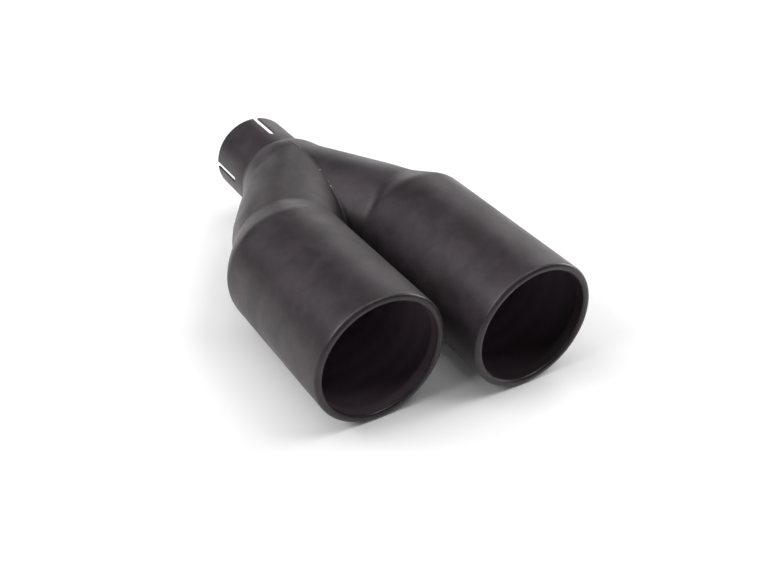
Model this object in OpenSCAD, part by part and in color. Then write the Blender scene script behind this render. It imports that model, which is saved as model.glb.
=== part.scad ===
// Twin exhaust tip: a slotted inlet sleeve, a welded Y of two branch pipes, and
// two spun barrels with rolled-in lips. The centre of the inlet's rim is the
// origin. The mouths face -Y, X runs across the barrels and Z is up.

/* [Inlet sleeve] */
// Outer diameter of the sleeve that slides over the tailpipe
inlet_d = 61.5; // [58:0.5:65]
// Wall of the sleeve
inlet_wall = 1.5; // [1.2:0.1:2]
// Length of the sleeve, from its rim to the weld
inlet_length = 44; // [40:1:48]
// Number of saw cuts across the rim, each of which makes two opposite slots
cut_count = 2; // [1, 2]
// Angle of the first cut, from the X axis
cut_turn = 86.6; // [80:0.2:100]
// Angle from one cut to the next
cut_step = 96; // [85:1:100]
// Width of a slot
slot_width = 4; // [2:0.2:5]
// Length of a slot, from the rim to the end of its round root
slot_length = 30.5; // [20:0.5:34]

/* [Branch pipes] */
// Outer diameter of each branch pipe
branch_d = 79; // [77:0.5:81]
// Wall of each branch pipe
branch_wall = 1.5; // [1.2:0.1:2]
// Angle of each branch to the inlet's axis
branch_angle = 33.4; // [32:0.2:35]
// Depth of the point where the branches' axes cross, from the inlet's rim
crossing_depth = 75.7; // [74:0.1:78]
// Length of the cone that gathers both branches into the sleeve
collector_length = 19; // [17:0.5:21]

/* [Barrels] */
// Outer diameter of each barrel
barrel_d = 90; // [88:0.5:94]
// Wall of each barrel
barrel_wall = 1.5; // [1.2:0.1:1.8]
// Distance between the axes of the barrels
barrel_spacing = 101; // [99:0.5:104]
// Length of the left barrel, from its shoulder to its lip
left_length = 117; // [90:1:150]
// Length of the right barrel, from its shoulder to its lip
right_length = 134; // [90:1:160]

/* [Necks] */
// Distance from the shoulder back to where the branch's axis meets the barrel's
shoulder_offset = 3.6; // [3:0.1:6]
// Distance from there back along the branch's axis to the neck joint
neck_length = 14.8; // [13:0.1:16]
// Angle between the neck joint's face and the barrel's end faces
neck_tilt = 22; // [20:0.5:24]
// Lean of the spun neck's cone towards the inlet's axis
neck_lean = 9.4; // [8:0.1:11]

/* [Rolled lips] */
// Diameter of the opening inside the rolled lip
lip_opening_d = 79.7; // [76:0.1:81]
// Radius of the lip's outer edge
lip_edge_r = 2; // [1.9:0.1:2.4]
// Radius of the lip's inner edge
lip_roll_r = 1.9; // [1.9:0.1:2.4]
// Depth to which the lip's edge is turned back into the barrel
lip_return = 8; // [4:0.5:12]

/* [Welds] */
// Radius of the bead round the inlet
inlet_bead_r = 1.3; // [1:0.1:2]
// Width of the bead along the seam between the branches
seam_bead_w = 3.4; // [3:0.2:5]
// Height of that bead above its toes
seam_bead_h = 0.8; // [0.7:0.1:1.4]
// Height to which the bead round each neck is dressed down
neck_bead_h = 0.8; // [0.7:0.1:1.4]
// Radius of that bead's crown
neck_bead_r = 12; // [6:0.5:14]

/* [Hidden] */
$fn = 96;
coating = [0.16, 0.155, 0.155];
bead_tone = [0.22, 0.215, 0.21];
far = 400;
inlet_r = inlet_d / 2;
branch_r = branch_d / 2;
barrel_r = barrel_d / 2;
lip_r = lip_opening_d / 2;
barrel_x = barrel_spacing / 2;
collector_end = inlet_length + collector_length;
// The cone ends a step inside the crossing branches
collector_step = 0.4;
function collector_r(wall) = sqrt(pow(branch_r - wall, 2)
    - pow((crossing_depth - collector_end) * sin(branch_angle), 2)) - collector_step;
collector_slope = atan((collector_r(0) - inlet_r) / collector_length);
// Where the branch's axis meets the barrel's axis, and the shoulder before it
meet_run = barrel_x / sin(branch_angle);
meet_depth = crossing_depth + barrel_x / tan(branch_angle);
shoulder_depth = meet_depth + shoulder_offset;
// Centre of the neck joint, on the branch's axis
neck_run = meet_run - neck_length;
neck_x = neck_run * sin(branch_angle);
neck_depth = crossing_depth + neck_run * cos(branch_angle);
// Outermost point of the neck joint, on the branch's outer side
rim_run = neck_run + branch_r * tan(branch_angle - neck_tilt);
rim_x = rim_run * sin(branch_angle) + branch_r * cos(branch_angle);
rim_depth = crossing_depth + rim_run * cos(branch_angle) - branch_r * sin(branch_angle);
// The neck's cone runs from the shoulder's circle to the neck joint
outer_slope = atan((barrel_x + barrel_r - rim_x) / (shoulder_depth - rim_depth));
neck_half = outer_slope - neck_lean;
// Mean radius of the neck joint, which is an ellipse
neck_ring_r = (branch_r + branch_r / cos(branch_angle - neck_tilt)) / 2;

// Sets a shape that was drawn forward along +Z to run along -Y
module forward() { rotate([90, 0, 0]) children(); }

// The right-hand form, or its mirror image on the left
module on_side(side) { mirror([side < 0 ? 1 : 0, 0, 0]) children(); }

// All that lies behind the neck joint's plane
module behind_joint() {
    translate([neck_x, 0, neck_depth]) rotate([0, neck_tilt, 0])
        translate([-far, -far, -2 * far]) cube(2 * far);
}

// All that lies ahead of the neck joint's plane
module ahead_of_joint() {
    translate([neck_x, 0, neck_depth]) rotate([0, neck_tilt, 0])
        translate([-far, -far, 0]) cube(2 * far);
}

// One branch as a filled form: half of the collector's cone and the pipe ahead of it
module branch_form(wall, reach) {
    intersection() {
        union() {
            translate([0, 0, inlet_length])
                cylinder(h = collector_length, r1 = inlet_r - wall, r2 = collector_r(wall));
            translate([0, 0, inlet_length - reach]) cylinder(h = reach, r = inlet_r - wall);
            intersection() {
                translate([0, 0, crossing_depth]) rotate([0, branch_angle, 0])
                    translate([0, 0, -far / 2]) cylinder(h = far, r = branch_r - wall);
                translate([-far, -far, collector_end]) cube(2 * far);
            }
        }
        translate([-reach, -far, 0]) cube(2 * far);
    }
}

module branch() {
    difference() {
        intersection() {
            branch_form(0, 0);
            behind_joint();
        }
        branch_form(branch_wall, 1);
    }
}

// The neck's cone leans outwards and meets the barrel at the shoulder. A wall moves it inwards.
module neck_cone(wall) {
    tall = 2 * barrel_r / (tan(neck_half + neck_lean) + tan(neck_half - neck_lean));
    translate([barrel_x - barrel_r + tall * tan(neck_half - neck_lean), 0, shoulder_depth - tall])
        rotate([0, neck_lean, 0]) translate([0, 0, wall / sin(neck_half)])
            cylinder(h = far, r1 = 0, r2 = far * tan(neck_half));
}

// The barrel's outside, or its cavity when a wall is given, from its neck to the depth end
module barrel_form(end, wall) {
    intersection() {
        translate([barrel_x, 0, 0]) cylinder(h = end, r = barrel_r - wall);
        neck_cone(wall);
    }
}

// Half-section of the rolled hem, drawn outwards from the barrel's axis and back from the lip
module hem_block(inner, outer, start, inner_edge, outer_edge) {
    deep = max(inner_edge, outer_edge);
    translate([inner, start + deep]) square([outer - inner, lip_return - start - deep + (start > 0 ? 1 : 0)]);
    translate([inner + inner_edge, start]) square([outer - inner - inner_edge - outer_edge, deep]);
    translate([inner + inner_edge, start + inner_edge]) circle(inner_edge);
    translate([outer - outer_edge, start + outer_edge]) circle(outer_edge);
    translate([inner, start + inner_edge]) square([inner_edge, deep - inner_edge + 0.01]);
    translate([outer - outer_edge, start + outer_edge]) square([outer_edge, deep - outer_edge + 0.01]);
}

module hem(end) {
    translate([barrel_x, 0, end]) mirror([0, 0, 1]) rotate_extrude() difference() {
        hem_block(lip_r, barrel_r, 0, lip_roll_r, lip_edge_r);
        hem_block(lip_r + barrel_wall, barrel_r - barrel_wall, barrel_wall,
                  lip_roll_r - barrel_wall, lip_edge_r - barrel_wall);
    }
}

module barrel(length) {
    end = shoulder_depth + length;
    difference() {
        intersection() {
            barrel_form(end - lip_return, 0);
            ahead_of_joint();
        }
        barrel_form(end, barrel_wall);
    }
    hem(end);
}

// Ring of bead round the neck joint, outside the two pieces that it joins
module neck_bead() {
    difference() {
        translate([neck_x, 0, neck_depth]) rotate([0, neck_tilt, 0])
            rotate_extrude() translate([neck_ring_r + neck_bead_h - neck_bead_r, 0]) circle(neck_bead_r);
        translate([0, 0, crossing_depth]) rotate([0, branch_angle, 0]) cylinder(h = far, r = branch_r);
        intersection() {
            barrel_form(shoulder_depth + left_length, 0);
            ahead_of_joint();
        }
    }
}

module inlet_sleeve() color(coating) forward() difference() {
    cylinder(h = inlet_length, r = inlet_r);
    translate([0, 0, -1]) cylinder(h = inlet_length + 2, r = inlet_r - inlet_wall);
    for (i = [0 : cut_count - 1]) rotate([0, 0, cut_turn + i * cut_step]) {
        translate([-inlet_d, -slot_width / 2, -1])
            cube([2 * inlet_d, slot_width, slot_length - slot_width / 2 + 1]);
        translate([-inlet_d, 0, slot_length - slot_width / 2]) rotate([0, 90, 0])
            cylinder(h = 2 * inlet_d, r = slot_width / 2);
    }
}

module left_branch() color(coating) forward() on_side(-1) branch();
module right_branch() color(coating) forward() on_side(1) branch();
module left_barrel() color(coating) forward() on_side(-1) barrel(left_length);
module right_barrel() color(coating) forward() on_side(1) barrel(right_length);
module left_neck_weld() color(bead_tone) forward() on_side(-1) neck_bead();
module right_neck_weld() color(bead_tone) forward() on_side(1) neck_bead();

module inlet_weld() color(bead_tone) forward() rotate_extrude() difference() {
    translate([inlet_r, inlet_length]) circle(inlet_bead_r, $fn = 32);
    polygon([[0, 0], [inlet_r, 0], [inlet_r, inlet_length], [collector_r(0), collector_end],
             [0, collector_end]]);
}

// The seam between the branches lies in the plane of symmetry. It climbs the collector
// and then follows the ellipse where the two pipes cross, round the crotch and back below.
seam_reach = branch_r / sin(branch_angle);
seam_start = acos((crossing_depth - collector_end) / seam_reach);
climb_start = inlet_length + inlet_bead_r;
climb_run = collector_end - climb_start;
climbs = 3;
turns = 60;
toes = 7;
toe_sag = seam_bead_w / 4 / inlet_r;
function climb_at(k, s) = let (z = climb_start + climb_run * k / climbs)
    [s * (inlet_r + (z - inlet_length) * tan(collector_slope)), z,
     s * cos(collector_slope), -sin(collector_slope), -toe_sag];
// Height, depth, direction outwards from the seam and rise of the pipes beside it
function ellipse_at(a) = let (v = branch_r * sin(a), w = -seam_reach * cos(a),
        n = norm([v, w * pow(sin(branch_angle), 2)]))
    [v, crossing_depth + w, v / n, w * pow(sin(branch_angle), 2) / n,
     w * sin(branch_angle) * cos(branch_angle) / n - toe_sag];
seam = concat([for (k = [0 : climbs - 1]) climb_at(k, 1)],
              [for (i = [0 : turns]) ellipse_at(seam_start + (360 - 2 * seam_start) * i / turns)],
              [for (k = [climbs - 1 : -1 : 0]) climb_at(k, -1)]);
// A low bump between its two toes, with its root in the seam
function seam_ring(p) = concat(
    [for (k = [0 : toes - 1]) let (a = 180 * k / (toes - 1),
        x = seam_bead_w / 2 * cos(a), w = p[4] * seam_bead_w / 2 + seam_bead_h * sin(a))
        [x, p[0] + w * p[2], p[1] + w * p[3]]],
    [[0, p[0], p[1]]]);
ring = toes + 1;

module seam_weld() color(bead_tone) forward() polyhedron(
    points = [for (p = seam) each seam_ring(p)],
    faces = concat(
        [[for (k = [0 : ring - 1]) k]],
        [for (i = [0 : len(seam) - 2], k = [0 : ring - 1])
            [i * ring + k, (i + 1) * ring + k, (i + 1) * ring + (k + 1) % ring, i * ring + (k + 1) % ring]],
        [[for (k = [ring - 1 : -1 : 0]) (len(seam) - 1) * ring + k]]));

inlet_sleeve();
left_branch();
right_branch();
left_barrel();
right_barrel();
inlet_weld();
seam_weld();
left_neck_weld();
right_neck_weld();
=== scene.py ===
"""Dual exhaust tip: matt black coated steel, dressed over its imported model."""
from math import acos, atan, cos, pi, radians, sin, sqrt, tan

import bmesh
import bpy
from mathutils import Matrix, Vector


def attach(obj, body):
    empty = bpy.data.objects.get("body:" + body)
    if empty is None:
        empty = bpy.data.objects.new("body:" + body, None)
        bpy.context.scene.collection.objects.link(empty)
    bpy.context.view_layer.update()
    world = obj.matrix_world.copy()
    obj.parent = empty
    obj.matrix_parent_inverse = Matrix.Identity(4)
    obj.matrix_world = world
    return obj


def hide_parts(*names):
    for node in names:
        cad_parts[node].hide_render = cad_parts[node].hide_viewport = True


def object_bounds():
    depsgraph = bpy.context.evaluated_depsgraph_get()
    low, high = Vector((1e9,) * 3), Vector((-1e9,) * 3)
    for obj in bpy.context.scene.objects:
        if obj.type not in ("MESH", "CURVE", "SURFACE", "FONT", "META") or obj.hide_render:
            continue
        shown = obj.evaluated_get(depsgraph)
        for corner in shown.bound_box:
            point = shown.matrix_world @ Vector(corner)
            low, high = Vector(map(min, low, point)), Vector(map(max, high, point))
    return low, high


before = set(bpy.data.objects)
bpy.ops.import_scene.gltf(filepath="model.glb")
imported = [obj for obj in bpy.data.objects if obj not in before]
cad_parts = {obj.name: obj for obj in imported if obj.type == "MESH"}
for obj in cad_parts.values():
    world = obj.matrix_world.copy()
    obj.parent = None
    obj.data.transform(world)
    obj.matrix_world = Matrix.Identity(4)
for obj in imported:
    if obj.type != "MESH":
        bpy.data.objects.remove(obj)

bl_info = {
    "name": "Dual exhaust tip",
    "version": (1, 0, 0),
    "blender": (4, 5, 0),
    "location": "View3D > Sidebar > Exhaust tip",
    "description": "Builds a coated dual exhaust tip with welded branches and rolled lips",
    "category": "Add Mesh",
}

CAD_BOX = [list(corner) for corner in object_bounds()]
SIDES = {"left": -1, "right": 1}
MATERIAL_NAMES = {"coat": "matt_black_coat", "bead": "coated_weld_bead", "bore": "bore_painted_light",
                  "lip": "smooth_lip_coat"}
# Soft boxes: name, azimuth from the mouths' side and height in degrees, and power in watts.
# They stand on a dome round the middle of the part
DOME_MIDDLE = (0.0, -0.16, 0.0)
DOME_RADIUS = 3.0
BOX_SIDE = 1.2
SOFT_BOXES = (("low_right_box", 90, 14, 40.2), ("mid_left_box", 270, 38, 29.9),
              ("high_right_front_box", 60, 64, 24.4), ("mid_left_rear_box", 240, 38, 23.1),
              ("high_left_rear_box", 240, 64, 17.0), ("mid_right_rear_box", 120, 38, 12.7),
              ("top_box", 0, 90, 15.0), ("low_rear_right_box", 150, 14, 9.2),
              ("low_right_rear_box", 120, 14, 6.3), ("low_rear_box", 180, 14, 3.6),
              ("mid_front_left_box", 330, 38, 2.1), ("high_right_rear_box", 120, 64, 1.1))
FLOOR_SIDE = 6.0
FLOOR_MIDDLE = -0.15
FLOOR_GAP = 0.0002
SENSOR_WIDTH = 36.0
CAMERA_PLACE = (-0.312045, -0.653121, 0.362760)
# The camera's own right, up and back
CAMERA_AXES = ((0.844648, -0.532722, 0.052696), (0.261915, 0.497102, 0.827219),
               (-0.466873, -0.684906, 0.559404))
# Depths between which the colour inside the barrels goes from the light painted deeper in to the
# plain coat towards the mouths
BORE_LIGHT_DEPTHS = (0.238, 0.288)
# Spots on the seam's bead where pale highlights are painted into its colour: depth, height and
# reach
PAINTED_GLINT_SPOTS = ((0.1228, 0.0298, 0.0024), (0.1182, 0.0318, 0.0011), (0.1065, 0.0356, 0.001),
                (0.0460, 0.0320, 0.002))
# Scales of the finishes' noises and rings
CLOUDS, SMUDGES, GRAIN, PEEL, SPECKS, RINGS = 58.0, 27.0, 2600.0, 420.0, 620.0, 22.0
ROUGHNESS_SPREAD = 0.06
# How far the edges of the dressed welds and of the seam's bead are let in, so that none shows
WELD_LET_IN, BEAD_LET_IN = 0.00004, 0.00003
# How deep a weld's closed underside lies below its edges and below its corner
WELD_UNDER_EDGE, WELD_UNDER_CORNER = 0.0006, 0.0009
BEAD_UNDER_EDGE, BEAD_UNDER_CORNER = 0.0005, 0.0008
SEAM_UNDER = 0.0006
TINY = 1e-5


def size(name, description, default):
    """A length that the sidebar shows in the scene's unit."""
    return bpy.props.FloatProperty(name=name, description=description, default=default,
                                   min=0.0, unit="LENGTH", precision=5)


def angle(name, description, degrees):
    """An angle, given in degrees."""
    return bpy.props.FloatProperty(name=name, description=description, default=radians(degrees),
                                   subtype="ANGLE")


def tone(name, description, default):
    """A colour."""
    return bpy.props.FloatVectorProperty(name=name, description=description, default=default,
                                         size=3, min=0.0, max=1.0, subtype="COLOR")


def share(name, description, default, top=1.0):
    """A share from 0 to 1, or a plain strength where it may go higher."""
    return bpy.props.FloatProperty(name=name, description=description, default=default,
                                   min=0.0, max=top, subtype="FACTOR" if top == 1.0 else "NONE")


class TipSizes(bpy.types.PropertyGroup):
    """Sizes of the sleeve, the branches, the necks and the barrels."""
    wall: size("Wall", "Wall of every tube", 0.0015)
    sleeve_radius: size("Sleeve radius", "Outer radius of the inlet sleeve", 0.03075)
    sleeve_length: size("Sleeve length", "From the rim to the weld", 0.044)
    cut_turn: angle("Cut turn", "Angle of the first of the two saw cuts from across", 86.6)
    cut_step: angle("Cut step", "Angle from one saw cut to the next", 96.0)
    slot_width: size("Slot width", "Width of a slot", 0.004)
    slot_length: size("Slot length", "From the rim to the end of a slot's round root", 0.0305)
    collector_length: size("Collector length", "Length of the bulb ahead of the sleeve", 0.019)
    collector_radius: size("Collector radius", "Radius of that bulb at its front", 0.03888)
    collector_ramp: share("Collector ramp", "Rise of its outer side for each length ahead", 0.49)
    collector_soft: size("Collector softening", "Half the length of its change into pipes", 0.012)
    branch_radius: size("Branch radius", "Outer radius of a branch pipe", 0.0395)
    branch_angle: angle("Branch angle", "Angle of a branch to the inlet's axis", 33.4)
    crossing: size("Crossing depth", "Where the branches' axes cross", 0.0757)
    barrel_radius: size("Barrel radius", "Outer radius of a barrel", 0.045)
    barrel_offset: size("Barrel offset", "From the middle to a barrel's axis", 0.0505)
    left_length: size("Left length", "From the left shoulder to the lip", 0.117)
    right_length: size("Right length", "From the right shoulder to the lip", 0.134)
    shoulder_offset: size("Shoulder offset", "From the axes' meeting to the shoulder", 0.0036)
    neck_length: size("Neck length", "From the axes' meeting back to the joint", 0.0148)
    neck_tilt: angle("Neck tilt", "Tilt of the neck joint's face", 22.0)
    neck_lean: angle("Neck lean", "Lean of the spun neck's cone", 9.4)
    neck_dip: size("Neck dip", "Depth to which the neck's outer side is dressed down", 0.003)
    dip_at: size("Dip's place", "Distance of the dip's deepest point ahead of the joint", 0.0015)
    dip_behind: size("Dip behind", "Reach of the dip behind that point", 0.018)
    dip_ahead: size("Dip ahead", "Reach of the dip ahead of that point", 0.026)
    pipe_fill: size("Pipe fill", "How far the branch's outer side stands out of the round", 0.0006)
    fill_rear: size("Fill rear", "From the joint back to where the fill is full", 0.045)
    fill_rise: size("Fill rise", "Length over which it rises, behind that place", 0.03)
    fill_front: size("Fill front", "From the joint back to where the fill ends", 0.014)
    fill_fall: size("Fill fall", "Length over which it dies out, behind that place", 0.01)
    shoulder_soft: size("Shoulder softening", "Length of the rounding on each side", 0.0035)
    lip_radius: size("Lip radius", "Radius of the opening inside the lip", 0.03985)
    lip_edge: size("Lip edge", "Radius of the lip's outer edge", 0.0026)
    lip_roll: size("Lip roll", "Radius of the lip's inner edge", 0.0021)
    lip_return: size("Lip return", "Depth of the turned-back flange", 0.008)
    cut_edge: size("Cut edge", "Bevel on the sleeve's rim and slots", 0.0002)
    bead_leg: size("Inlet bead leg", "Reach of the inlet's bead on each side", 0.0011)
    bead_rise: size("Inlet bead rise", "Crown of the inlet's bead", 0.00012)
    seam_width: size("Seam width", "Width of the seam's bead", 0.0015)
    seam_rise: size("Seam rise", "Height of the seam's bead", 0.0001)
    seam_start: size("Seam start", "From the inlet's weld to the seam's bead", 0.0012)
    ripple_pitch: size("Ripple pitch", "Length of one ripple of a bead", 0.0021)
    weld_behind: size("Neck weld behind", "Reach of a dressed weld behind the joint", 0.005)
    weld_ahead: size("Neck weld ahead", "Reach of a dressed weld ahead of the joint", 0.006)


class CoatLook(bpy.types.PropertyGroup):
    """Colours and finish of the coating."""
    coat: tone("Coat", "Colour of the matt black coating", (0.0185, 0.0146, 0.0168))
    coat_dusty: tone("Dusty coat", "Colour where the coat is driest", (0.0325, 0.0252, 0.0292))
    # Painted highlight: the pale colour that stands for glints on the seam's bead
    painted_glint: tone("Painted weld glint", "Colour of the highlights painted on the weld's bead", (0.45, 0.44, 0.43))
    # Painted light: the inside of the barrels is coloured far lighter than the coat, to stand for
    # the light seen inside them
    bore: tone("Bore", "Colour of the light painted inside the barrels", (0.18, 0.137, 0.165))
    bore_light_rings: tone("Bore light rings", "Lighter colour of the rings in that painted light", (0.2, 0.152, 0.183))
    lip_roughness: share("Lip roughness", "Roughness of the coating on the rolled lips", 0.4)
    dust: share("Dust", "Strength of the pale bloom that shows at a grazing angle", 0.06)
    gloss: share("Gloss", "Strength of the coating's gloss", 0.46)
    sheen: tone("Sheen", "Colour of the coating's gloss", (1.0, 0.92, 0.96))
    roughness: share("Roughness", "Roughness of the coating", 0.45)
    grain: share("Grain", "Strength of the coating's fine grain", 0.12)


class StudioLook(bpy.types.PropertyGroup):
    """Light, floor and camera."""
    floor_seen: share("Floor, seen", "Brightness of the floor's colour as the camera sees it", 1.0)
    floor_bounce: share("Floor, bounce", "Brightness of its colour as it lights the part", 0.6)
    floor_lift: share("Floor lift", "Light that the floor adds towards the camera", 0.03)
    world: share("World", "Strength of the even light all round", 0.045, 4.0)
    lens: bpy.props.FloatProperty(name="Lens", description="Focal length in millimetres",
                                  default=46.943, min=1.0, subtype="DISTANCE_CAMERA")


def place(x, up, depth):
    """From across, up and depth ahead of the rim to the model's axes."""
    return Vector((x, -depth, up))


def add_mesh(name, verts, faces, nodes, body="root", sharp=40.0, merge=0.0, bevel=0.0):
    """Adds a closed mesh that stands for the named nodes, and hides them."""
    mesh = bpy.data.meshes.new(name)
    mesh.from_pydata([tuple(v) for v in verts], [], faces)
    obj = bpy.data.objects.new(name, mesh)
    bpy.context.scene.collection.objects.link(obj)
    bm = bmesh.new()
    bm.from_mesh(mesh)
    if merge:
        bmesh.ops.remove_doubles(bm, verts=bm.verts, dist=merge)
    bmesh.ops.dissolve_degenerate(bm, edges=bm.edges, dist=1e-7)
    bmesh.ops.recalc_face_normals(bm, faces=bm.faces)
    if bevel:
        edges = [edge for edge in bm.edges
                 if len(edge.link_faces) == 2 and edge.calc_face_angle(0.0) > radians(60)]
        bmesh.ops.bevel(bm, geom=edges, offset=bevel, segments=2, profile=0.6, affect="EDGES",
                        clamp_overlap=True)
    for face in bm.faces:
        face.smooth = True
    bm.to_mesh(mesh)
    bm.free()
    mesh.set_sharp_from_angle(angle=radians(sharp))
    if not mesh.polygons:
        raise RuntimeError(name + " came out empty")
    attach(obj, body)
    if nodes:
        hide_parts(*nodes)
    return obj


def closed_grid(rows, wrap_rows=True):
    """Points and faces of closed rows, with the last row joined to the first unless told not."""
    verts = [p for row in rows for p in row]
    n = len(rows[0])
    faces = []
    for i in range(len(rows) if wrap_rows else len(rows) - 1):
        a, b = i * n, (i + 1) % len(rows) * n
        faces += [(a + j, a + (j + 1) % n, b + (j + 1) % n, b + j) for j in range(n)]
    return verts, faces


def bend(a, corner, b, steps):
    """Points of the smooth curve from a to b that leaves and arrives towards the corner."""
    return [a * (1 - t) ** 2 + corner * (2 * t * (1 - t)) + b * t ** 2
            for t in (i / steps for i in range(steps + 1))]


def ease(t):
    """A soft step from 0 to 1, as t goes from 0 to 1."""
    t = min(1.0, max(0.0, t))
    return t * t * (3 - 2 * t)


class Form:
    """The fixed geometry that pieces share, worked out from the sizes."""

    def __init__(self, sizes):
        s = self.s = sizes
        meet = s.crossing + s.barrel_offset / tan(s.branch_angle)
        self.shoulder = meet + s.shoulder_offset
        self.neck = self.axis_point(s.barrel_offset / sin(s.branch_angle) - s.neck_length)
        out = self.branch_point(0.0, s.branch_radius, self.neck, s.neck_tilt)
        flare = atan((s.barrel_offset + s.barrel_radius - out[0]) / (self.shoulder - out[2]))
        # Half the angle of the neck's cone
        self.half = flare - s.neck_lean

    def axis_point(self, run):
        """The point on the branch's axis at a run from where the two axes cross."""
        s = self.s
        return Vector((run * sin(s.branch_angle), 0.0, s.crossing + run * cos(s.branch_angle)))

    def bulb(self, depth):
        """Radius of the rounded collector at a depth."""
        s = self.s
        ahead = (s.collector_radius ** 2 - s.sleeve_radius ** 2) / s.collector_length / 2 \
            + s.collector_length / 2
        ball = sqrt(ahead ** 2 + s.sleeve_radius ** 2)
        return sqrt(ball ** 2 - min(0.0, depth - s.sleeve_length - ahead) ** 2)

    def pipes(self, depth):
        """How far the collector has turned into the pipes at a depth, from 0 to 1."""
        s = self.s
        tail = s.sleeve_length + s.collector_length
        return ease((depth - tail + s.collector_soft) / (2 * s.collector_soft))

    def press(self, p):
        """Moves a point on the outer side in at the neck joint, and a little out behind it."""
        s = self.s
        out = Vector((cos(s.neck_tilt), 0.0, -sin(s.neck_tilt)))
        ahead = Vector((sin(s.neck_tilt), 0.0, cos(s.neck_tilt)))
        run = ahead.dot(p - self.neck)
        arm = p - self.neck - ahead * run
        side = max(0.0, out.dot(arm) / max(arm.length, 1e-6))
        past = run - s.dip_at
        dip = s.neck_dip * ease(1 + past / s.dip_behind if past < 0 else 1 - past / s.dip_ahead)
        fill = s.pipe_fill * ease(1 + (run + s.fill_rear) / s.fill_rise) \
            * ease(-(run + s.fill_front) / s.fill_fall)
        return p - out * ((dip - fill) * side ** 1.5)

    def branch_point(self, turn, radius, through, tilt):
        """A branch's point at a turn from its outer side, on a tilted plane through a point."""
        s = self.s
        along = Vector((sin(s.branch_angle), 0.0, cos(s.branch_angle)))
        radial = Vector((cos(turn) * cos(s.branch_angle), sin(turn),
                         -cos(turn) * sin(s.branch_angle)))
        base = self.axis_point(0.0) + radial * radius
        normal = Vector((sin(tilt), 0.0, cos(tilt)))
        return base + along * (normal.dot(through - base) / normal.dot(along))

    def apex(self, inset):
        """Apex of the neck's cone, moved forward along its axis for an inner wall."""
        s = self.s
        tall = 2 * s.barrel_radius / (tan(self.half + s.neck_lean) + tan(self.half - s.neck_lean))
        tip = Vector((s.barrel_offset - s.barrel_radius + tall * tan(self.half - s.neck_lean), 0.0,
                      self.shoulder - tall))
        return tip + Vector((sin(s.neck_lean), 0.0, cos(s.neck_lean))) * (inset / sin(self.half))

    def neck_line(self, turn, inset):
        """Where a line of the neck's cone leaves the joint and where it meets the barrel."""
        s = self.s
        tip = self.apex(inset)
        across = Vector((cos(s.neck_lean), 0.0, -sin(s.neck_lean)))
        along = Vector((sin(s.neck_lean), 0.0, cos(s.neck_lean)))
        line = along + (across * cos(turn) + Vector((0.0, 1.0, 0.0)) * sin(turn)) * tan(self.half)
        normal = Vector((sin(s.neck_tilt), 0.0, cos(s.neck_tilt)))
        start = tip + line * (normal.dot(self.neck - tip) / normal.dot(line))
        radius = s.barrel_radius - inset
        px, py = tip[0] - s.barrel_offset, tip[1]
        a = line[0] ** 2 + line[1] ** 2
        b = px * line[0] + py * line[1]
        end = tip + line * ((-b + sqrt(b * b - a * (px * px + py * py - radius ** 2))) / a)
        return start, end


def barrel_rows(form, length, around=192):
    """Profiles of a barrel, one for each turn, from the joint over the lip and back inside."""
    s = form.s
    r, w, mouth = s.barrel_radius, s.wall, form.shoulder + length
    cone_steps, soft_steps, side_steps, roll_steps, inner_steps = 16, 6, 24, 8, 12
    quarter = [pi / 2 * k / roll_steps for k in range(roll_steps + 1)]
    rows = []
    for j in range(around):
        turn = 2 * pi * j / around
        start, end = form.neck_line(turn, 0.0)
        radial = Vector((end[0] - s.barrel_offset, end[1], 0.0)).normalized()
        axis = Vector((s.barrel_offset, 0.0, 0.0))

        def at(radius, depth):
            return axis + radial * radius + Vector((0.0, 0.0, depth))

        ahead = Vector((0.0, 0.0, 1.0))
        soft = min(s.shoulder_soft, (end - start).length * 0.45)
        before = end - (end - start).normalized() * soft
        row = [start.lerp(before, k / cone_steps) for k in range(cone_steps)]
        row += bend(before, end, end + ahead * soft, soft_steps)
        back = row[-1][2]
        row += [at(r, back + (mouth - s.lip_edge - back) * k / side_steps)
                for k in range(1, side_steps)]
        row += [at(r - s.lip_edge + s.lip_edge * cos(a), mouth - s.lip_edge + s.lip_edge * sin(a))
                for a in quarter]
        row += [at(s.lip_radius + s.lip_roll - s.lip_roll * cos(a),
                   mouth - s.lip_roll + s.lip_roll * sin(a)) for a in quarter[::-1]]
        flange = mouth - s.lip_return
        row += [at(s.lip_radius, flange), at(s.lip_radius + w, flange)]
        row += [at(s.lip_radius + w, mouth - w - s.lip_roll * 0.5)]
        row += [at(r - w, mouth - w - s.lip_edge * 0.5), at(r - w, flange)]
        inner_start, inner_end = form.neck_line(turn, w)
        deep = max(inner_end[2], form.shoulder)
        row += [at(r - w, deep + (flange - deep) * (inner_steps - k) / inner_steps)
                for k in range(1, inner_steps)]
        row += [inner_end]
        row += [inner_end.lerp(inner_start, k / cone_steps) for k in range(1, cone_steps + 1)]
        rows.append([form.press(p) for p in row])
    return rows


def mirrored(rows, side):
    """Rows of the right side's points in the model's axes, on the side asked for."""
    return [[place(side * p[0], p[1], p[2]) for p in row] for row in rows]


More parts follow.
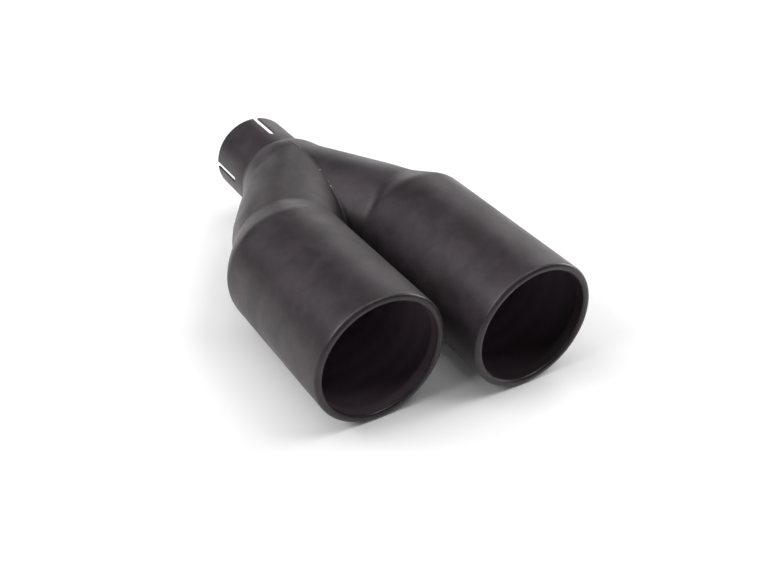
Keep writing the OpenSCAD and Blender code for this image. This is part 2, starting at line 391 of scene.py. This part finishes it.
def branch_station(form, run_share, inset, around):
    """A section of a branch, from above over its outer side to below, at a share of its run."""
    s = form.s
    # Sections stand square in the collector, and lean to the joint's tilt ahead of it
    rear, front = s.sleeve_length, form.neck[2]
    depth = rear + (front - rear) * run_share
    tail = rear + s.collector_length
    tilt = s.neck_tilt * max(0.0, (depth - tail) / (front - tail))
    through = form.axis_point((depth - s.crossing) / cos(s.branch_angle))
    pipe_radius = s.branch_radius - inset
    # The turn at which the section meets the plane of symmetry, or pi where it stays clear of it
    limit = pi
    if form.branch_point(pi, pipe_radius, through, tilt)[0] < 0.0:
        limit, beyond = 0.0, pi
        for _ in range(40):
            middle = (limit + beyond) / 2
            if form.branch_point(middle, pipe_radius, through, tilt)[0] > 0.0:
                limit = middle
            else:
                beyond = middle
    pipe = [form.branch_point(limit * (1 - 2 * k / around), pipe_radius, through, tilt)
            for k in range(around + 1)]
    bulb = form.bulb(depth) - inset
    ramp = s.sleeve_radius - inset + (depth - rear) * s.collector_ramp
    collar = []
    for k in range(around + 1):
        a = pi / 2 * (1 - 2 * k / around)
        radius = bulb + (ramp - bulb) * cos(a) ** 2
        collar.append(Vector((radius * cos(a), radius * sin(a), depth)))
    row = [form.press(c.lerp(p, form.pipes(depth))) for c, p in zip(collar, pipe)]
    for p in (row[0], row[-1]):
        if limit < pi:
            p[0] = 0.0
    return row


def branch_mesh(form, side, around=96, stations=96):
    """A branch: its outer and inner sections, joined at both ends and along the open seam."""
    shares = [k / stations for k in range(stations + 1)]
    outer = [branch_station(form, t, 0.0, around) for t in shares]
    inner = [branch_station(form, t, form.s.wall, around) for t in shares]
    n = around + 1
    verts = [place(side * p[0], p[1], p[2]) for row in outer + inner for p in row]
    inside = len(outer) * n
    faces = []
    for i in range(stations):
        for j in range(around):
            a = i * n + j
            faces.append((a, a + 1, a + n + 1, a + n))
            faces.append((inside + a, inside + a + n, inside + a + n + 1, inside + a + 1))
    for j in range(around):
        last = stations * n + j
        faces.append((j, inside + j, inside + j + 1, j + 1))
        faces.append((last, last + 1, inside + last + 1, inside + last))
    for i in range(stations):
        for j in (0, around):
            a, b = i * n + j, (i + 1) * n + j
            # An edge is closed off only where the section is open
            if (verts[a] - verts[i * n + around - j]).length > TINY or \
                    (verts[b] - verts[(i + 1) * n + around - j]).length > TINY:
                faces.append((a, b, inside + b, inside + a))
    return verts, faces


def sleeve_mesh(sizes):
    """The slotted sleeve: whole ahead of the slots' roots, and in panels between the slots."""
    s = sizes
    half, root = s.slot_width / 2, s.slot_length - s.slot_width / 2
    wide = half / s.sleeve_radius
    root_steps, panel_steps = 16, 40
    # A line of points for each turn; where it meets a slot's root, edge holds the root's depth
    turns, edge = [], []
    middles = [s.cut_turn, s.cut_turn + s.cut_step, s.cut_turn + pi, s.cut_turn + s.cut_step + pi]
    for k, middle in enumerate(middles):
        for i in range(root_steps + 1):
            a = pi * i / root_steps
            turns.append(middle - wide * cos(a))
            edge.append(root + half * sin(a))
        gap = (middles[(k + 1) % len(middles)] - middle) % (2 * pi) - 2 * wide
        for i in range(1, panel_steps):
            turns.append(middle + wide + gap * i / panel_steps)
            edge.append(None)
    n = len(turns)
    behind_root = [root * t for t in (0.0, 0.02, 0.25, 0.5, 0.75)]
    ahead_of_root = (0.0, 0.12, 0.3, 0.5, 0.75, 1.0)
    verts, faces = [], []

    def at(j, depth, radius):
        verts.append(place(radius * cos(turns[j]), radius * sin(turns[j]), depth))
        return len(verts) - 1

    for radius, flip in ((s.sleeve_radius, False), (s.sleeve_radius - s.wall, True)):
        front, back = [], []
        for j in range(n):
            first = edge[j] if edge[j] is not None else root
            line = [at(j, first + (s.sleeve_length - first) * t, radius) for t in ahead_of_root]
            front.append(line)
            solid = edge[j] is None or abs(edge[j] - root) < 1e-9
            back.append([at(j, d, radius) for d in behind_root] + [line[0]] if solid else None)
        for j in range(n):
            k = (j + 1) % n
            for lines in (front, back):
                in_slot = edge[j] is not None and edge[k] is not None
                if lines is back and in_slot:
                    continue
                for i in range(len(lines[j]) - 1):
                    f = (lines[j][i], lines[k][i], lines[k][i + 1], lines[j][i + 1])
                    faces.append(f[::-1] if flip else f)
        if flip:
            inner_front, inner_back = front, back
        else:
            outer_front, outer_back = front, back

    def join(outer_a, outer_b, inner_b, inner_a):
        """A face across the wall, from two outer points to the inner ones behind them."""
        faces.append((outer_a, outer_b, inner_b, inner_a))

    for j in range(n):
        k = (j + 1) % n
        join(outer_front[j][-1], outer_front[k][-1], inner_front[k][-1], inner_front[j][-1])
        if edge[j] is not None and edge[k] is not None:
            join(outer_front[k][0], outer_front[j][0], inner_front[j][0], inner_front[k][0])
        else:
            join(outer_back[k][0], outer_back[j][0], inner_back[j][0], inner_back[k][0])
        if edge[j] is not None and outer_back[j] is not None:
            outer, inner = outer_back[j], inner_back[j]
            for i in range(len(outer) - 1):
                join(outer[i], outer[i + 1], inner[i + 1], inner[i])
    return verts, faces


def neck_weld(form, side, around=192, steps=16):
    """The dressed weld: a smooth fillet from the branch to the neck's cone."""
    s = form.s
    along = Vector((sin(s.branch_angle), 0.0, cos(s.branch_angle)))
    rows = []
    for j in range(around):
        start, end = form.neck_line(2 * pi * j / around, 0.0)
        # The branch's own point on the joint that lies nearest to the cone's
        away = start - form.axis_point(0.0)
        run = along * away.dot(along)
        up = (away - run).normalized()
        corner = form.axis_point(0.0) + up * s.branch_radius + run
        a = corner - along * s.weld_behind
        length = (end - start).length
        b = start + (end - start) * (min(s.weld_ahead, length * 0.8) / length)
        top = [p - up * WELD_LET_IN for p in bend(a, (corner + start) / 2, b, steps)]
        low = [b - up * WELD_UNDER_EDGE, corner - up * WELD_UNDER_CORNER, a - up * WELD_UNDER_EDGE]
        rows.append([form.press(p) for p in top + low])
    return closed_grid(mirrored(rows, side))


def ripple(run, pitch):
    """Height of a weld's ripples along its run: one scale laid over the next."""
    phase = (run / pitch) % 1.0
    return (1.0 - phase) ** 0.6


def inlet_bead(form, around=384):
    """A rippled bead in the corner between the sleeve and the collector."""
    s = form.s
    step, wander, wanders = 0.002, 0.0004, 7
    slope = atan((form.bulb(s.sleeve_length + step) - s.sleeve_radius) / step)
    corner = Vector((s.sleeve_radius, s.sleeve_length))
    a = corner - Vector((0.0, s.bead_leg))
    b = corner + Vector((sin(slope), cos(slope))) * s.bead_leg
    out = (Vector((1.0, 0.0)) + Vector((cos(slope), -sin(slope)))).normalized()
    rows = []
    for j in range(around):
        turn = 2 * pi * j / around
        wave = ripple(turn * s.sleeve_radius + wander * sin(wanders * turn), s.ripple_pitch)
        height = s.bead_rise * (0.72 + 0.28 * wave)
        row = [a.lerp(b, k / 8) + out * (height * sin(pi * k / 8)) for k in range(9)]
        row += [b - out * BEAD_UNDER_EDGE, corner - out * BEAD_UNDER_CORNER,
                a - out * BEAD_UNDER_EDGE]
        rows.append([place(p[0] * cos(turn), p[0] * sin(turn), p[1]) for p in row])
    return closed_grid(rows)


def seam_line(form, points=900, climb=90):
    """The seam between the branches: height, depth, outward direction and rise beside it.

    It runs from the inlet's weld over the bulb, round the pipes' crossing and back below."""
    s = form.s
    reach = s.branch_radius / sin(s.branch_angle)
    handover = s.sleeve_length + s.collector_length + s.collector_soft

    def ridge(z):
        """Height of the seam at a depth behind the handover from bulb to pipes."""
        pipe = s.branch_radius * sqrt(1 - ((z - s.crossing) / reach) ** 2)
        turned = form.pipes(z)
        return form.bulb(z) * (1 - turned) + pipe * turned

    line = []
    first = s.sleeve_length + s.seam_start
    for k in range(climb):
        z = first + (handover - first) * k / climb
        slope = (ridge(z + TINY) - ridge(z - TINY)) / (2 * TINY)
        n = sqrt(1 + slope * slope)
        line.append((ridge(z), z, 1 / n, -slope / n, 0.0))
    start = acos((s.crossing - handover) / reach)
    for k in range(points + 1):
        a = start + (2 * pi - 2 * start) * k / points
        v, w = s.branch_radius * sin(a), -reach * cos(a) * sin(s.branch_angle)
        n = sqrt(v * v + (w * sin(s.branch_angle)) ** 2)
        line.append((v, s.crossing + w / sin(s.branch_angle), v / n, w * sin(s.branch_angle) / n,
                     w * cos(s.branch_angle) / n))
    line += [(-v, z, -dv, dz, rise) for v, z, dv, dz, rise in line[climb - 1::-1]]
    return line


def seam_bead(form):
    """The rippled bead on the seam, with its own closed ends."""
    s = form.s
    line = seam_line(form)
    rows, run, last = [], 0.0, Vector(line[0][:2])
    for v, z, dv, dz, rise in line:
        here = Vector((v, z))
        run += (here - last).length
        last = here
        wave = ripple(run, s.ripple_pitch)
        half = s.seam_width / 2 * (0.86 + 0.14 * wave)
        height = s.seam_rise * (0.6 + 0.4 * wave)
        row = []
        for a in (pi * k / 8 for k in range(9)):
            w = rise * half + height * sin(a) - BEAD_LET_IN
            row.append((half * cos(a), v + dv * w, z + dz * w))
        row.append((0.0, v - dv * SEAM_UNDER, z - dz * SEAM_UNDER))
        rows.append([place(*p) for p in row])
    verts, faces = closed_grid(rows, wrap_rows=False)
    n = len(rows[0])
    faces.append(tuple(range(n)))
    faces.append(tuple(range(len(verts) - 1, len(verts) - 1 - n, -1)))
    return verts, faces


def new_material(name):
    """A new material with its node tree and its shader."""
    material = bpy.data.materials.new(name)
    material.use_nodes = True
    tree = material.node_tree
    shader = tree.nodes["Principled BSDF"]
    return material, tree, shader


def add_noise(tree, coords, scale, detail, roughness=0.5, distortion=0.0):
    """A noise texture over the object's own coordinates."""
    noise = tree.nodes.new("ShaderNodeTexNoise")
    noise.inputs["Scale"].default_value = scale
    noise.inputs["Detail"].default_value = detail
    noise.inputs["Roughness"].default_value = roughness
    noise.inputs["Distortion"].default_value = distortion
    tree.links.new(coords.outputs["Object"], noise.inputs["Vector"])
    return noise


def add_ramp(tree, source, stops):
    """A colour ramp with a stop for each pair of place and colour."""
    ramp = tree.nodes.new("ShaderNodeValToRGB")
    while len(ramp.color_ramp.elements) < len(stops):
        ramp.color_ramp.elements.new(0.5)
    for element, (at, colour) in zip(ramp.color_ramp.elements, stops):
        element.position = at
        element.color = (*colour, 1.0)
    tree.links.new(source, ramp.inputs["Fac"])
    return ramp


def add_math(tree, operation, first, second):
    """A maths node; either value may be a socket or a number."""
    node = tree.nodes.new("ShaderNodeMath")
    node.operation = operation
    for socket, value in zip(node.inputs, (first, second)):
        if hasattr(value, "is_output"):
            tree.links.new(value, socket)
        else:
            socket.default_value = value
    return node.outputs["Value"]


def add_grain(tree, coords, shader, look):
    """The coat's dry grain over a faint orange peel, as a bump."""
    grain = add_noise(tree, coords, GRAIN, 2.0, 0.6)
    peel = add_noise(tree, coords, PEEL, 2.0)
    height = add_math(tree, "ADD", peel.outputs["Fac"],
                      add_math(tree, "MULTIPLY", grain.outputs["Fac"], 0.5))
    bump = tree.nodes.new("ShaderNodeBump")
    bump.inputs["Strength"].default_value = look.grain
    bump.inputs["Distance"].default_value = 0.0002
    tree.links.new(height, bump.inputs["Height"])
    tree.links.new(bump.outputs["Normal"], shader.inputs["Normal"])


def add_gloss(shader, look):
    """The coat's tinted gloss."""
    shader.inputs["Specular IOR Level"].default_value = look.gloss
    shader.inputs["Specular Tint"].default_value = (*look.sheen, 1.0)


def coat_material(look, name="matt_black_coat", roughness=None):
    """High-temperature matt black: a fine dry grain under faint smudges in tone and gloss."""
    material, tree, shader = new_material(name)
    coords = tree.nodes.new("ShaderNodeTexCoord")
    clouds = add_noise(tree, coords, CLOUDS, 5.0, 0.62, 0.4)
    colour = add_ramp(tree, clouds.outputs["Fac"], [(0.4, look.coat), (0.62, look.coat_dusty)])
    tree.links.new(colour.outputs["Color"], shader.inputs["Base Color"])
    smudges = add_noise(tree, coords, SMUDGES, 5.0, 0.62, 0.6)
    middle = roughness or look.roughness
    rough = add_ramp(tree, smudges.outputs["Fac"], [(0.38, (middle - ROUGHNESS_SPREAD,) * 3),
                                                    (0.62, (middle + ROUGHNESS_SPREAD,) * 3)])
    tree.links.new(rough.outputs["Color"], shader.inputs["Roughness"])
    add_gloss(shader, look)
    shader.inputs["Sheen Weight"].default_value = look.dust
    shader.inputs["Sheen Roughness"].default_value = 0.35
    shader.inputs["Sheen Tint"].default_value = (*look.sheen, 1.0)
    add_grain(tree, coords, shader, look)
    return material


def bore_material(look):
    """The coat inside the barrels, with light painted into its colour deeper inside, in faint
    rings.
    """
    material = coat_material(look, "bore_painted_light")
    tree = material.node_tree
    shader = tree.nodes["Principled BSDF"]
    coords = tree.nodes["Texture Coordinate"]
    # Faint rings across the painted light inside
    rings = tree.nodes.new("ShaderNodeTexWave")
    rings.wave_type = "BANDS"
    rings.bands_direction = "Y"
    rings.inputs["Scale"].default_value = RINGS
    rings.inputs["Distortion"].default_value = 1.4
    rings.inputs["Detail"].default_value = 2.0
    tree.links.new(coords.outputs["Object"], rings.inputs["Vector"])
    colour = add_ramp(tree, rings.outputs["Fac"], [(0.0, look.bore), (1.0, look.bore_light_rings)])
    axes = tree.nodes.new("ShaderNodeSeparateXYZ")
    tree.links.new(coords.outputs["Object"], axes.inputs["Vector"])
    # The painted light inside fades to the plain coat towards the mouths
    light_fade = tree.nodes.new("ShaderNodeMapRange")
    light_fade.inputs["From Min"].default_value = -BORE_LIGHT_DEPTHS[1]
    light_fade.inputs["From Max"].default_value = -BORE_LIGHT_DEPTHS[0]
    tree.links.new(axes.outputs["Y"], light_fade.inputs["Value"])
    blend = tree.nodes.new("ShaderNodeMix")
    blend.data_type = "RGBA"
    full, lit_rings = [socket for socket in blend.inputs if socket.type == "RGBA"]
    full.default_value = (*look.coat, 1.0)
    tree.links.new(colour.outputs["Color"], lit_rings)
    tree.links.new(light_fade.outputs["Result"], blend.inputs["Factor"])
    mixed = next(socket for socket in blend.outputs if socket.type == "RGBA")
    tree.links.new(mixed, shader.inputs["Base Color"])
    return material


def lip_material(look):
    """The coat where the roller left the lip smoother."""
    return coat_material(look, "smooth_lip_coat", look.lip_roughness)


def bead_material(look):
    """The same coat over the welds with random pale specks, and highlights painted into its colour
    in a few small spots along the seam.
    """
    material, tree, shader = new_material("coated_weld_bead")
    coords = tree.nodes.new("ShaderNodeTexCoord")
    specks = add_noise(tree, coords, SPECKS, 2.0)
    near = 0.0
    # Painted highlights: the bead's colour turns pale round each of these spots
    for depth, height, reach in PAINTED_GLINT_SPOTS:
        away = tree.nodes.new("ShaderNodeVectorMath")
        away.operation = "DISTANCE"
        away.inputs[1].default_value = place(0.0, height, depth)
        tree.links.new(coords.outputs["Object"], away.inputs[0])
        share_away = add_math(tree, "DIVIDE", away.outputs["Value"], reach)
        near = add_math(tree, "MAXIMUM", near, add_math(tree, "SUBTRACT", 1.0, share_away))
    # Random specks of tone, plus the painted highlights at the spots
    specks_and_glints = add_math(tree, "ADD", specks.outputs["Fac"], add_math(tree, "MULTIPLY", near, 0.3))
    colour = add_ramp(tree, specks_and_glints, [(0.3, look.coat), (0.66, look.coat_dusty), (0.86, look.painted_glint)])
    tree.links.new(colour.outputs["Color"], shader.inputs["Base Color"])
    shader.inputs["Roughness"].default_value = look.roughness
    add_gloss(shader, look)
    add_grain(tree, coords, shader, look)
    return material


def material_for(kind):
    """The finish of a kind, made the first time that it is asked for."""
    make = {"coat": coat_material, "bead": bead_material, "bore": bore_material,
            "lip": lip_material}[kind]
    made = bpy.data.materials.get(MATERIAL_NAMES[kind])
    return made or make(bpy.context.scene.tip_coat)


def wear(obj, kind):
    """Gives an object one finish all over."""
    obj.data.materials.clear()
    obj.data.materials.append(material_for(kind))


def line_barrel(obj, x, shoulder, mouth, sizes):
    """Gives the barrel's inside the bore's painted light, and its rolled lip the smoother coat."""
    obj.data.materials.append(material_for("bore"))
    obj.data.materials.append(material_for("lip"))
    inside = sizes.barrel_radius - sizes.wall / 2
    for face in obj.data.polygons:
        middle = face.center
        depth, reach = -middle[1], sqrt((middle[0] - x) ** 2 + middle[2] ** 2)
        if depth > mouth - sizes.lip_edge:
            face.material_index = 2
        elif depth > shoulder + sizes.wall * 2 / 3 and reach < inside:
            face.material_index = 1


class EXHAUST_OT_finish_nodes(bpy.types.Operator):
    """Give every carried-over node of the model its coating"""
    bl_idname = "exhaust.finish_nodes"
    bl_label = "Coat the model's nodes"

    def execute(self, context):
        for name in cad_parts:
            obj = bpy.data.objects[name]
            kind = "bead" if name.endswith("weld") else "coat"
            if not obj.material_slots:
                raise RuntimeError(name + " has no material slot")
            for slot in obj.material_slots:
                slot.material = material_for(kind)
        return {"FINISHED"}


class EXHAUST_OT_add_sleeve(bpy.types.Operator):
    """Add the slotted inlet sleeve"""
    bl_idname = "exhaust.add_sleeve"
    bl_label = "Inlet sleeve"

    def execute(self, context):
        verts, faces = sleeve_mesh(context.scene.tip_sizes)
        wear(add_mesh("slotted_sleeve", verts, faces, ["inlet_sleeve"],
                      bevel=context.scene.tip_sizes.cut_edge), "coat")
        return {"FINISHED"}


class EXHAUST_OT_add_branches(bpy.types.Operator):
    """Add the two branch pipes with their halves of the collector"""
    bl_idname = "exhaust.add_branches"
    bl_label = "Branch pipes"

    def execute(self, context):
        form = Form(context.scene.tip_sizes)
        for name, side in SIDES.items():
            verts, faces = branch_mesh(form, side)
            wear(add_mesh(name + "_branch_pipe", verts, faces, [name + "_branch"],
                          merge=2e-6), "coat")
        return {"FINISHED"}


class EXHAUST_OT_add_barrels(bpy.types.Operator):
    """Add the two barrels with their spun necks and rolled-in lips"""
    bl_idname = "exhaust.add_barrels"
    bl_label = "Barrels"

    def execute(self, context):
        sizes = context.scene.tip_sizes
        form = Form(sizes)
        for name, side in SIDES.items():
            length = sizes.left_length if side < 0 else sizes.right_length
            verts, faces = closed_grid(mirrored(barrel_rows(form, length), side))
            barrel = add_mesh(name + "_spun_barrel", verts, faces,
                              [name + "_barrel"])
            wear(barrel, "coat")
            line_barrel(barrel, side * sizes.barrel_offset, form.shoulder,
                        form.shoulder + length, sizes)
        return {"FINISHED"}


class EXHAUST_OT_add_welds(bpy.types.Operator):
    """Add the rippled beads and the dressed neck welds"""
    bl_idname = "exhaust.add_welds"
    bl_label = "Welds"

    def execute(self, context):
        form = Form(context.scene.tip_sizes)
        verts, faces = inlet_bead(form)
        wear(add_mesh("inlet_bead", verts, faces, ["inlet_weld"], sharp=60), "bead")
        verts, faces = seam_bead(form)
        wear(add_mesh("branch_seam_bead", verts, faces, ["seam_weld"],
                      sharp=60), "bead")
        for name, side in SIDES.items():
            verts, faces = neck_weld(form, side)
            wear(add_mesh(name + "_neck_fillet", verts, faces,
                          [name + "_neck_weld"], sharp=60), "coat")
        return {"FINISHED"}


class EXHAUST_OT_add_studio(bpy.types.Operator):
    """Add the floor, the soft lights and the camera"""
    bl_idname = "exhaust.add_studio"
    bl_label = "Studio"

    def execute(self, context):
        look = context.scene.tip_studio
        add_floor(look)
        add_world(look)
        add_lights()
        add_camera(look)
        return {"FINISHED"}


def seen_plainly(tree):
    """1 on the rays of the camera, of gloss and of glass, and 0 on the rest."""
    path = tree.nodes.new("ShaderNodeLightPath").outputs
    either = add_math(tree, "MAXIMUM", path["Is Camera Ray"], path["Is Glossy Ray"])
    return add_math(tree, "MAXIMUM", either, path["Is Transmission Ray"])


def add_floor(look):
    """A floor that is white to the camera and in reflections, and lights the part less."""
    bpy.ops.mesh.primitive_plane_add(size=FLOOR_SIDE,
                                     location=(0.0, FLOOR_MIDDLE, CAD_BOX[0][2] - FLOOR_GAP))
    floor = bpy.context.object
    floor.name = "studio_floor"
    material, tree, shader = new_material("pale_floor")
    seen = seen_plainly(tree)
    white = add_math(tree, "ADD", look.floor_bounce,
                     add_math(tree, "MULTIPLY", seen, look.floor_seen - look.floor_bounce))
    tree.links.new(white, shader.inputs["Base Color"])
    shader.inputs["Roughness"].default_value = 0.8
    shader.inputs["Specular IOR Level"].default_value = 0.2
    lift = tree.nodes.new("ShaderNodeEmission")
    lift.inputs["Color"].default_value = (1.0, 1.0, 1.0, 1.0)
    tree.links.new(add_math(tree, "MULTIPLY", seen, look.floor_lift), lift.inputs["Strength"])
    both = tree.nodes.new("ShaderNodeAddShader")
    tree.links.new(shader.outputs["BSDF"], both.inputs[0])
    tree.links.new(lift.outputs["Emission"], both.inputs[1])
    tree.links.new(both.outputs["Shader"], tree.nodes["Material Output"].inputs["Surface"])
    floor.data.materials.append(material)


def add_world(look):
    """A dim even light all round, under the soft boxes."""
    world = bpy.data.worlds.new("white_studio")
    bpy.context.scene.world = world
    world.use_nodes = True
    tree = world.node_tree
    background = tree.nodes["Background"]
    background.inputs["Color"].default_value = (1.0, 1.0, 1.0, 1.0)
    background.inputs["Strength"].default_value = look.world


def add_lights():
    """Soft boxes on the dome, each turned to its middle."""
    aim = Vector(DOME_MIDDLE)
    for name, azimuth, height, power in SOFT_BOXES:
        a, e = radians(azimuth), radians(height)
        light = bpy.data.lights.new(name, "AREA")
        light.shape = "RECTANGLE"
        light.size = light.size_y = BOX_SIDE
        light.energy = power
        lamp = bpy.data.objects.new(name, light)
        lamp.location = aim + Vector((sin(a) * cos(e), -cos(a) * cos(e), sin(e))) * DOME_RADIUS
        lamp.rotation_euler = (aim - lamp.location).to_track_quat("-Z", "Y").to_euler()
        bpy.context.scene.collection.objects.link(lamp)


def add_camera(look):
    """The camera that took the photo, as fitted to its outlines."""
    data = bpy.data.cameras.new("photo_camera")
    data.lens = look.lens
    data.sensor_width = SENSOR_WIDTH
    data.sensor_fit = "HORIZONTAL"
    data.clip_start = 0.01
    camera = bpy.data.objects.new("photo_camera", data)
    turn = Matrix(CAMERA_AXES).transposed().to_4x4()
    camera.matrix_world = Matrix.Translation(CAMERA_PLACE) @ turn
    bpy.context.scene.collection.objects.link(camera)
    bpy.context.scene.camera = camera


class EXHAUST_PT_panel(bpy.types.Panel):
    """Lists the steps and the sizes"""
    bl_idname = "EXHAUST_PT_panel"
    bl_label = "Dual exhaust tip"
    bl_space_type = "VIEW_3D"
    bl_region_type = "UI"
    bl_category = "Exhaust tip"

    def draw(self, context):
        column = self.layout.column()
        for step in STEPS:
            column.operator("exhaust." + step)
        for group in (context.scene.tip_sizes, context.scene.tip_coat, context.scene.tip_studio):
            box = self.layout.box()
            for name in group.__annotations__:
                box.prop(group, name)


STEPS = ("finish_nodes", "add_sleeve", "add_branches", "add_barrels", "add_welds", "add_studio")
CLASSES = (TipSizes, CoatLook, StudioLook, EXHAUST_OT_finish_nodes, EXHAUST_OT_add_sleeve,
           EXHAUST_OT_add_branches, EXHAUST_OT_add_barrels, EXHAUST_OT_add_welds,
           EXHAUST_OT_add_studio, EXHAUST_PT_panel)


def register():
    """Registers the classes and hangs the settings on the scene."""
    for cls in CLASSES:
        bpy.utils.register_class(cls)
    bpy.types.Scene.tip_sizes = bpy.props.PointerProperty(type=TipSizes)
    bpy.types.Scene.tip_coat = bpy.props.PointerProperty(type=CoatLook)
    bpy.types.Scene.tip_studio = bpy.props.PointerProperty(type=StudioLook)


def unregister():
    """Takes away what register added."""
    del bpy.types.Scene.tip_studio
    del bpy.types.Scene.tip_coat
    del bpy.types.Scene.tip_sizes
    for cls in reversed(CLASSES):
        bpy.utils.unregister_class(cls)


def main():
    """Runs every step in order."""
    register()
    bpy.context.scene.view_settings.view_transform = "Standard"
    for step in STEPS:
        getattr(bpy.ops.exhaust, step)()


if __name__ == "__main__":
    main()
